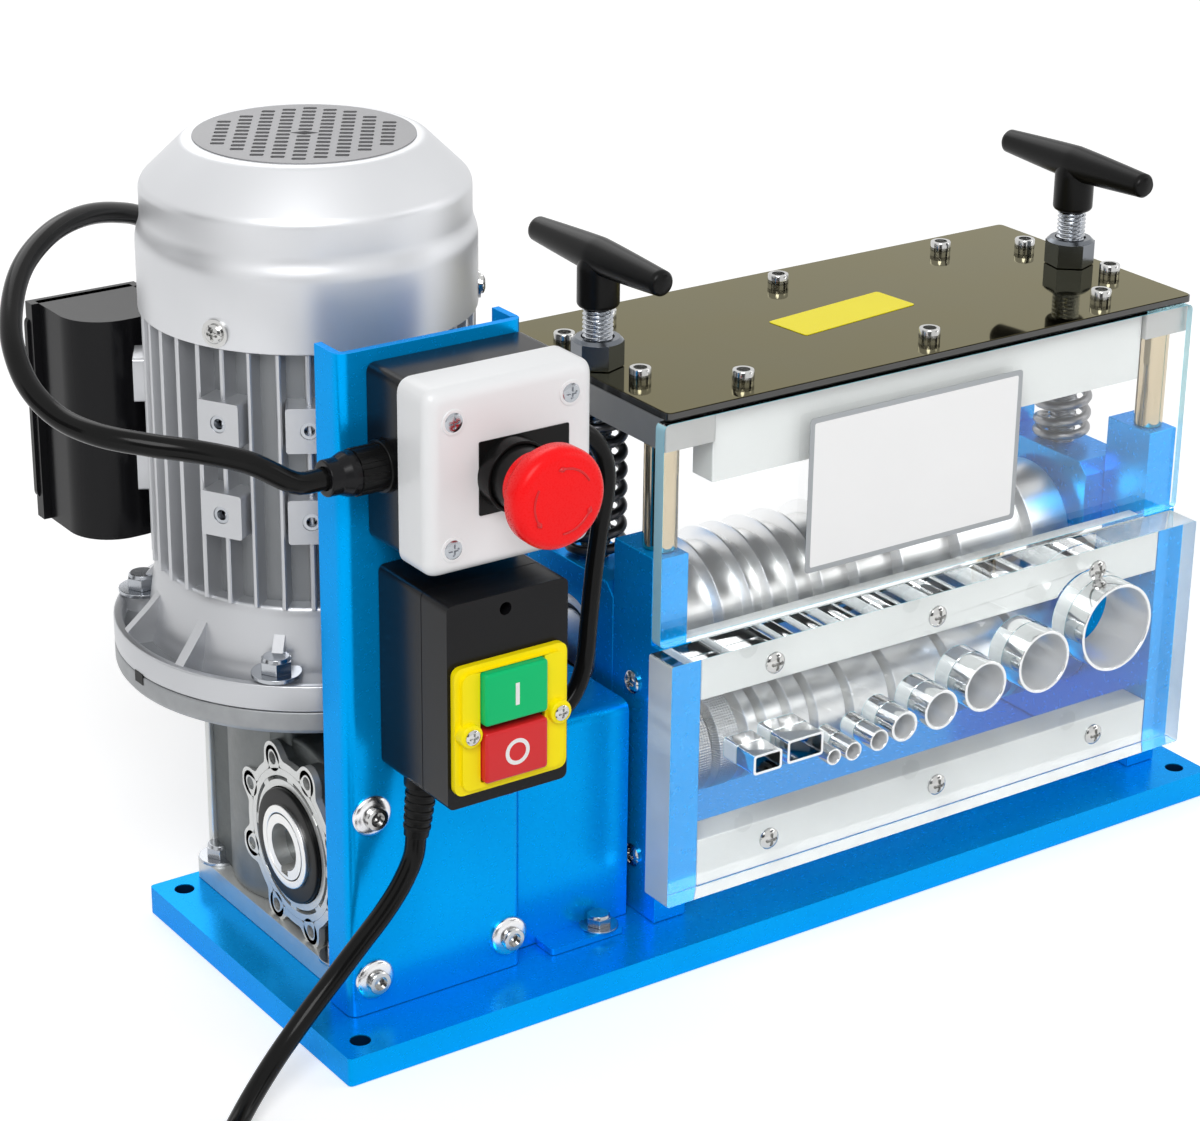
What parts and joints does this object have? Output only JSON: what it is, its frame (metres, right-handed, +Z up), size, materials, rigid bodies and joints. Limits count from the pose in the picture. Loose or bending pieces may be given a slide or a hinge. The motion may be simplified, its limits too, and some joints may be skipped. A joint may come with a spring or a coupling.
{
  "type": "wire stripping machine",
  "caption": "Bench machine that strips cable insulation: a geared motor drives a grooved feed roller under spring-loaded ring blades behind clear guards with wire guides.",
  "frame": {"origin": "centre of the base plate's underside", "axes": "+X along the rollers from the motor to the far side plate, +Y to the back, +Z up"},
  "size_m": [0.5827, 0.3628, 0.321],
  "materials": {
    "blue_paint": "glossy azure stoved paint",
    "black_gloss": "mirror-gloss black",
    "silver_paint": "satin silver paint on cast and pressed metal",
    "bare_cast_metal": "fine cast or milled grey metal",
    "machined_steel": "turned steel, some ridges knurled",
    "polished_steel": "polished stainless tube",
    "zinc_steel": "zinc-plated thread",
    "spring_steel": "dark oiled spring wire",
    "brass": "turned brass",
    "white_plastic": "white moulded plastic",
    "black_plastic": "black moulded plastic",
    "clear_acrylic": "clear acrylic with polished edges",
    "red_plastic": "red moulded plastic",
    "green_plastic": "green moulded plastic",
    "yellow_plastic": "yellow moulded plastic",
    "cable_sheath": "black cable sheath"
  },
  "bodies": {
    "machine_frame": {"base_plate": "blue_paint", "front_panel": "blue_paint", "coupling_cover": "blue_paint", "left_side_plate": "blue_paint", "right_side_plate": "blue_paint", "left_front_post": "brass", "left_rear_post": "brass", "right_front_post": "brass", "right_rear_post": "brass", "left_top_bar": "bare_cast_metal", "right_top_bar": "bare_cast_metal", "top_plate": "black_gloss", "front_top_rail": "white_plastic", "rear_top_rail": "white_plastic", "upper_guard_rail": "white_plastic", "lower_guard_rail": "white_plastic", "lower_guard": "clear_acrylic", "upper_guard": "clear_acrylic", "round_guide_1": "polished_steel", "round_guide_2": "polished_steel", "round_guide_3": "polished_steel", "round_guide_4": "polished_steel", "round_guide_5": "polished_steel", "round_guide_6": "polished_steel", "round_guide_7": "polished_steel", "round_guide_8": "polished_steel", "flat_guide_1": "polished_steel", "flat_guide_2": "polished_steel", "left_spring": "spring_steel", "right_spring": "spring_steel", "gearbox_housing": "bare_cast_metal", "gearbox_flange": "bare_cast_metal", "motor_body": "silver_paint", "fan_cover": "silver_paint", "capacitor_case": "black_plastic", "estop_box": "white_plastic", "estop_cover": "white_plastic", "switch_box": "black_plastic", "switch_bezel": "yellow_plastic", "motor_lead": "cable_sheath", "link_lead": "cable_sheath", "mains_cord": "cable_sheath", "mains_coil": "cable_sheath", "mains_plug": "black_plastic"},
    "motor_shaft": {"motor_rotor": "machined_steel", "cooling_fan": "black_plastic"},
    "feed_shaft": {"feed_roller": "machined_steel", "worm_wheel": "machined_steel"},
    "carriage": {"left_bearing_block": "bare_cast_metal", "right_bearing_block": "bare_cast_metal"},
    "blade_roller": {"blade_shaft": "machined_steel", "blade_stack": "machined_steel"},
    "left_pressure_screw": {"left_screw": "zinc_steel", "left_handle": "black_plastic"},
    "right_pressure_screw": {"right_screw": "zinc_steel", "right_handle": "black_plastic"},
    "stop_stem": {"estop_stem": "black_plastic"},
    "stop_head": {"estop_button": "red_plastic"},
    "start_key": {"start_button": "green_plastic"},
    "stop_key": {"stop_button": "red_plastic"}
  },
  "joints": [
    {"name": "motor_spin", "type": "hinge", "parent": "machine_frame", "child": "motor_shaft", "pos_m": [-0.1565, 0.0415, 0.2], "axis": [0, 0, 1], "continuous": true},
    {"name": "feed_roller_spin", "type": "hinge", "parent": "machine_frame", "child": "feed_shaft", "pos_m": [0, 0.0015, 0.0575], "axis": [1, 0, 0], "continuous": true},
    {"name": "carriage_lift", "type": "slide", "parent": "machine_frame", "child": "carriage", "axis": [0, 0, 1], "range_m": [-0.003, 0.007], "deforming": ["left_spring", "right_spring"]},
    {"name": "blade_shaft_spin", "type": "hinge", "parent": "carriage", "child": "blade_roller", "pos_m": [0, 0.00375, 0.1115], "axis": [1, 0, 0], "continuous": true},
    {"name": "left_handle_turn", "type": "hinge", "parent": "carriage", "child": "left_pressure_screw", "pos_m": [-0.052, 0.00375, 0.267], "axis": [0, 0, 1], "range_deg": [-618, 1441]},
    {"name": "right_handle_turn", "type": "hinge", "parent": "carriage", "child": "right_pressure_screw", "pos_m": [0.19, 0.00375, 0.267], "axis": [0, 0, 1], "range_deg": [-618, 1441]},
    {"name": "estop_push", "type": "slide", "parent": "machine_frame", "child": "stop_stem", "axis": [0, 1, 0], "range_m": [0, 0.005]},
    {"name": "estop_twist", "type": "hinge", "parent": "stop_stem", "child": "stop_head", "pos_m": [-0.1575, -0.12, 0.2342], "axis": [0, 1, 0], "range_deg": [0, 35], "stiffness_Nm_per_rad": 0.02},
    {"name": "start_push", "type": "slide", "parent": "machine_frame", "child": "start_key", "axis": [0, 1, 0], "range_m": [0, 0.003], "stiffness_N_per_m": 400},
    {"name": "stop_push", "type": "slide", "parent": "machine_frame", "child": "stop_key", "axis": [0, 1, 0], "range_m": [0, 0.003], "stiffness_N_per_m": 400}
  ],
  "couplings": [
    {"joint": "feed_roller_spin", "follows": "motor_spin", "ratio": 0.033333},
    {"joint": "right_handle_turn", "follows": "carriage_lift", "rad_per_m": 3590.4},
    {"joint": "left_handle_turn", "follows": "carriage_lift", "rad_per_m": 3590.4}
  ]
}
